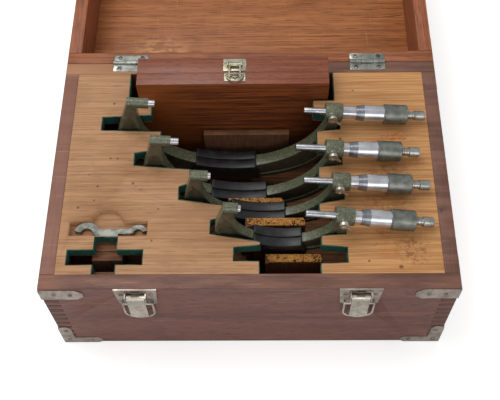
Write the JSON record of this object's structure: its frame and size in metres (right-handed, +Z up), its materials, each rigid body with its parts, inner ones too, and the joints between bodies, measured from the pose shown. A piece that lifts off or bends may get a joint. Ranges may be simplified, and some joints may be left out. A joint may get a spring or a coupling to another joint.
{
  "type": "micrometer case",
  "caption": "Hinged wooden tool case, open, with draw latches and metal corners, fitted with outside micrometers, a hook spanner and a box of setting standards in felt-lined slots.",
  "frame": {"origin": "on the floor, midway between the ends, directly below the hinge pin of the lid", "axes": "+X along the hinge pin to the thimble side, +Y to the open lid, -Y to the latches, +Z up"},
  "size_m": [0.3632, 0.498, 0.1674],
  "materials": {
    "case_wood": "oiled red-brown, worn",
    "deck_wood": "waxed light brown",
    "block_wood": "sawn, unfinished",
    "lid_wood": "oiled orange-brown",
    "box_wood": "varnished red-brown",
    "cork": "granular, matt",
    "felt": "matt felt",
    "aged_nickel": "aged nickel plate",
    "hammer_enamel": "hammertone enamel",
    "cover_plastic": "satin",
    "satin_steel": "satin chrome",
    "spindle_steel": "ground",
    "spanner_steel": "bright"
  },
  "bodies": {
    "case": {"front_board": "case_wood", "back_board": "case_wood", "left_board": "case_wood", "right_board": "case_wood", "base_panel": "deck_wood", "deck_boards": "deck_wood", "wood_supports": "block_wood", "cork_pads": "cork", "felt_lining": "felt", "base_corner_brackets": "aged_nickel", "base_hinge_leaves": "aged_nickel", "latch_plates": "aged_nickel", "base_screws": "aged_nickel"},
    "lid": {"lid_front_rail": "case_wood", "lid_back_rail": "case_wood", "lid_left_rail": "case_wood", "lid_right_rail": "case_wood", "lid_panel": "lid_wood", "lid_corner_brackets": "aged_nickel", "lid_hinge_leaves": "aged_nickel", "lid_catch_plates": "aged_nickel", "lid_screws": "aged_nickel"},
    "latch_lever_left": {"latch_lever_left": "aged_nickel"},
    "latch_lever_right": {"latch_lever_right": "aged_nickel"},
    "latch_bail_left": {"latch_bail_left": "aged_nickel"},
    "latch_bail_right": {"latch_bail_right": "aged_nickel"},
    "standards_box": {"standards_tray": "box_wood", "standards_lid": "box_wood", "setting_standards": "satin_steel", "standards_catch": "aged_nickel"},
    "standards_loop": {"standards_loop": "aged_nickel"},
    "hook_spanner": {"hook_spanner": "spanner_steel"},
    "micrometer_125": {"frame_125": "hammer_enamel", "covers_125": "cover_plastic", "sleeve_125": "satin_steel"},
    "spindle_125": {"spindle_125": "spindle_steel"},
    "thimble_125": {"thimble_125": "satin_steel"},
    "ratchet_125": {"ratchet_125": "satin_steel"},
    "lock_125": {"lock_125": "aged_nickel"},
    "micrometer_100": {"frame_100": "hammer_enamel", "covers_100": "cover_plastic", "sleeve_100": "satin_steel"},
    "spindle_100": {"spindle_100": "spindle_steel"},
    "thimble_100": {"thimble_100": "satin_steel"},
    "ratchet_100": {"ratchet_100": "satin_steel"},
    "lock_100": {"lock_100": "aged_nickel"},
    "micrometer_75": {"frame_75": "hammer_enamel", "covers_75": "cover_plastic", "sleeve_75": "satin_steel"},
    "spindle_75": {"spindle_75": "spindle_steel"},
    "thimble_75": {"thimble_75": "satin_steel"},
    "ratchet_75": {"ratchet_75": "satin_steel"},
    "lock_75": {"lock_75": "aged_nickel"},
    "micrometer_50": {"frame_50": "hammer_enamel", "covers_50": "cover_plastic", "sleeve_50": "satin_steel"},
    "spindle_50": {"spindle_50": "spindle_steel"},
    "thimble_50": {"thimble_50": "satin_steel"},
    "ratchet_50": {"ratchet_50": "satin_steel"},
    "lock_50": {"lock_50": "aged_nickel"}
  },
  "joints": [
    {"name": "lid_hinge", "type": "hinge", "parent": "case", "child": "lid", "pos_m": [0, 0, 0.125], "axis": [-1, 0, 0], "range_deg": [-180, 0]},
    {"name": "latch_lever_left_hinge", "type": "hinge", "parent": "case", "child": "latch_lever_left", "pos_m": [-0.097, -0.2466, 0.1152], "axis": [-1, 0, 0], "range_deg": [0, 120]},
    {"name": "latch_bail_left_hinge", "type": "hinge", "parent": "latch_lever_left", "child": "latch_bail_left", "pos_m": [-0.097, -0.2458, 0.1012], "axis": [1, 0, 0], "range_deg": [-180, 0]},
    {"name": "latch_lever_right_hinge", "type": "hinge", "parent": "case", "child": "latch_lever_right", "pos_m": [0.0955, -0.2466, 0.1152], "axis": [-1, 0, 0], "range_deg": [0, 120]},
    {"name": "latch_bail_right_hinge", "type": "hinge", "parent": "latch_lever_right", "child": "latch_bail_right", "pos_m": [0.0955, -0.2458, 0.1012], "axis": [1, 0, 0], "range_deg": [-180, 0]},
    {"name": "standards_box_lift", "type": "slide", "parent": "case", "child": "standards_box", "axis": [0, 0, 1], "range_m": [0, 0.11]},
    {"name": "standards_loop_hinge", "type": "hinge", "parent": "standards_box", "child": "standards_loop", "pos_m": [-0.0135, -0.0245, 0.152], "axis": [-1, 0, 0], "range_deg": [0, 110]},
    {"name": "spanner_lift", "type": "slide", "parent": "case", "child": "hook_spanner", "axis": [0, 0, 1], "range_m": [0, 0.03]},
    {"name": "lift_125", "type": "slide", "parent": "case", "child": "micrometer_125", "axis": [0, 0, 1], "range_m": [0, 0.115]},
    {"name": "spindle_feed_125", "type": "slide", "parent": "micrometer_125", "child": "spindle_125", "axis": [0.996, 0, -0.0889], "range_m": [-0.0122, 0.0128]},
    {"name": "thimble_turn_125", "type": "hinge", "parent": "spindle_125", "child": "thimble_125", "pos_m": [0.10863, -0.0717, 0.13814], "axis": [0.996, 0, -0.0889], "range_deg": [-8786, 9218]},
    {"name": "ratchet_turn_125", "type": "hinge", "parent": "thimble_125", "child": "ratchet_125", "pos_m": [0.15395, -0.0717, 0.13409], "axis": [0.996, 0, -0.0889], "continuous": true},
    {"name": "lock_turn_125", "type": "hinge", "parent": "micrometer_125", "child": "lock_125", "pos_m": [0.07713, -0.08, 0.14295], "axis": [0, -1, 0], "range_deg": [-40, 30]},
    {"name": "lift_100", "type": "slide", "parent": "case", "child": "micrometer_100", "axis": [0, 0, 1], "range_m": [0, 0.115]},
    {"name": "spindle_feed_100", "type": "slide", "parent": "micrometer_100", "child": "spindle_100", "axis": [0.9956, 0, -0.0941], "range_m": [-0.0052, 0.0198]},
    {"name": "thimble_turn_100", "type": "hinge", "parent": "spindle_100", "child": "thimble_100", "pos_m": [0.10018, -0.1126, 0.13905], "axis": [0.9956, 0, -0.0941], "range_deg": [-3746, 14258]},
    {"name": "ratchet_turn_100", "type": "hinge", "parent": "thimble_100", "child": "ratchet_100", "pos_m": [0.14547, -0.1126, 0.13477], "axis": [0.9956, 0, -0.0941], "continuous": true},
    {"name": "lock_turn_100", "type": "hinge", "parent": "micrometer_100", "child": "lock_100", "pos_m": [0.07567, -0.1209, 0.14338], "axis": [0, -1, 0], "range_deg": [-40, 30]},
    {"name": "lift_75", "type": "slide", "parent": "case", "child": "micrometer_75", "axis": [0, 0, 1], "range_m": [0, 0.115]},
    {"name": "spindle_feed_75", "type": "slide", "parent": "micrometer_75", "child": "spindle_75", "axis": [0.9956, 0, -0.0941], "range_m": [-0.007, 0.018]},
    {"name": "thimble_turn_75", "type": "hinge", "parent": "spindle_75", "child": "thimble_75", "pos_m": [0.10638, -0.1473, 0.13888], "axis": [0.9956, 0, -0.0941], "range_deg": [-5042, 12962]},
    {"name": "ratchet_turn_75", "type": "hinge", "parent": "thimble_75", "child": "ratchet_75", "pos_m": [0.15168, -0.1473, 0.1346], "axis": [0.9956, 0, -0.0941], "continuous": true},
    {"name": "lock_turn_75", "type": "hinge", "parent": "micrometer_75", "child": "lock_75", "pos_m": [0.08008, -0.1556, 0.14338], "axis": [0, -1, 0], "range_deg": [-40, 30]},
    {"name": "lift_50", "type": "slide", "parent": "case", "child": "micrometer_50", "axis": [0, 0, 1], "range_m": [0, 0.115]},
    {"name": "spindle_feed_50", "type": "slide", "parent": "micrometer_50", "child": "spindle_50", "axis": [0.9877, 0, -0.1564], "range_m": [-0.006, 0.019]},
    {"name": "thimble_turn_50", "type": "hinge", "parent": "spindle_50", "child": "thimble_50", "pos_m": [0.10629, -0.1847, 0.14242], "axis": [0.9877, 0, -0.1564], "range_deg": [-4322, 13682]},
    {"name": "ratchet_turn_50", "type": "hinge", "parent": "thimble_50", "child": "ratchet_50", "pos_m": [0.15123, -0.1847, 0.13531], "axis": [0.9877, 0, -0.1564], "continuous": true},
    {"name": "lock_turn_50", "type": "hinge", "parent": "micrometer_50", "child": "lock_50", "pos_m": [0.08132, -0.193, 0.14841], "axis": [0, -1, 0], "range_deg": [-40, 30]}
  ],
  "couplings": [
    {"joint": "thimble_turn_125", "follows": "spindle_feed_125", "rad_per_m": 12566},
    {"joint": "thimble_turn_100", "follows": "spindle_feed_100", "rad_per_m": 12566},
    {"joint": "thimble_turn_75", "follows": "spindle_feed_75", "rad_per_m": 12566},
    {"joint": "thimble_turn_50", "follows": "spindle_feed_50", "rad_per_m": 12566}
  ]
}
